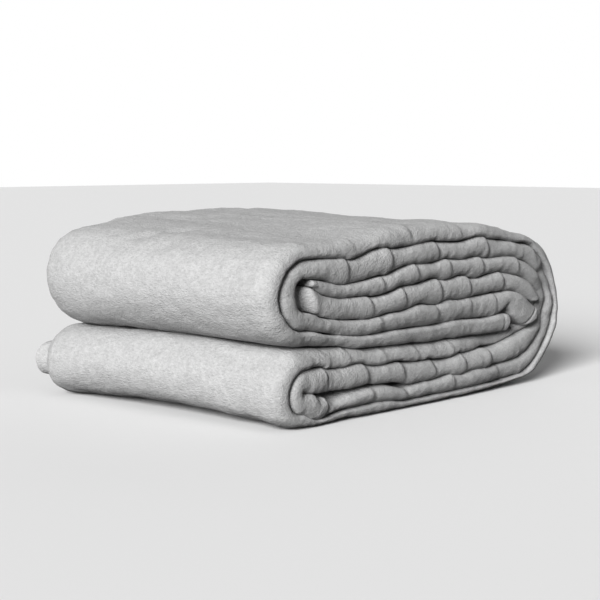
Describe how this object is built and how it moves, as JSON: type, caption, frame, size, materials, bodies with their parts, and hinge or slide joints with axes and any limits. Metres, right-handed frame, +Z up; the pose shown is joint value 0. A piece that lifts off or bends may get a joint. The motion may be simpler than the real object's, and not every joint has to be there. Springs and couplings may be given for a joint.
{
  "type": "folded throw blanket",
  "caption": "Fleece throw blanket folded into a thick rectangular stack of soft leaves, smooth folds on one side; it opens like a book at its spine",
  "frame": {"origin": "middle of the footprint, on the underside that rests on the shelf", "axes": "X runs along the stack from the smooth folds (-X) to the spine (+X); Y runs across it, with the layered end faces at -Y and +Y; Z is up through the leaves"},
  "size_m": [0.3, 0.218, 0.1207],
  "materials": {
    "fleece": "brushed polyester fleece, matt with a short soft nap",
    "thread": "matt polyester sewing thread"
  },
  "bodies": {
    "lower_bundle": {"leaf_07": "fleece", "leaf_08": "fleece", "leaf_09": "fleece", "leaf_10": "fleece", "lower_fold_inner": "fleece", "lower_fold_outer": "fleece", "spine_innermost_lower": "fleece", "spine_outermost_lower": "fleece", "spine_second_lower": "fleece", "spine_third_lower": "fleece"},
    "upper_bundle": {"hem_03": "fleece", "hem_04": "fleece", "hem_05": "fleece", "hem_06": "fleece", "leaf_01": "fleece", "leaf_02": "fleece", "leaf_03": "fleece", "leaf_04": "fleece", "leaf_05": "fleece", "leaf_06": "fleece", "spine_innermost_upper": "fleece", "spine_outermost_upper": "fleece", "spine_second_upper": "fleece", "spine_third_upper": "fleece", "stitches_03": "thread", "stitches_04": "thread", "stitches_05": "thread", "stitches_06": "thread", "upper_fold_inner": "fleece", "upper_fold_outer": "fleece"}
  },
  "joints": [
    {"name": "spine_fold", "type": "hinge", "parent": "lower_bundle", "child": "upper_bundle", "pos_m": [0.153, 0, 0.06035], "axis": [0, 1, 0], "range_deg": [0, 180]}
  ]
}
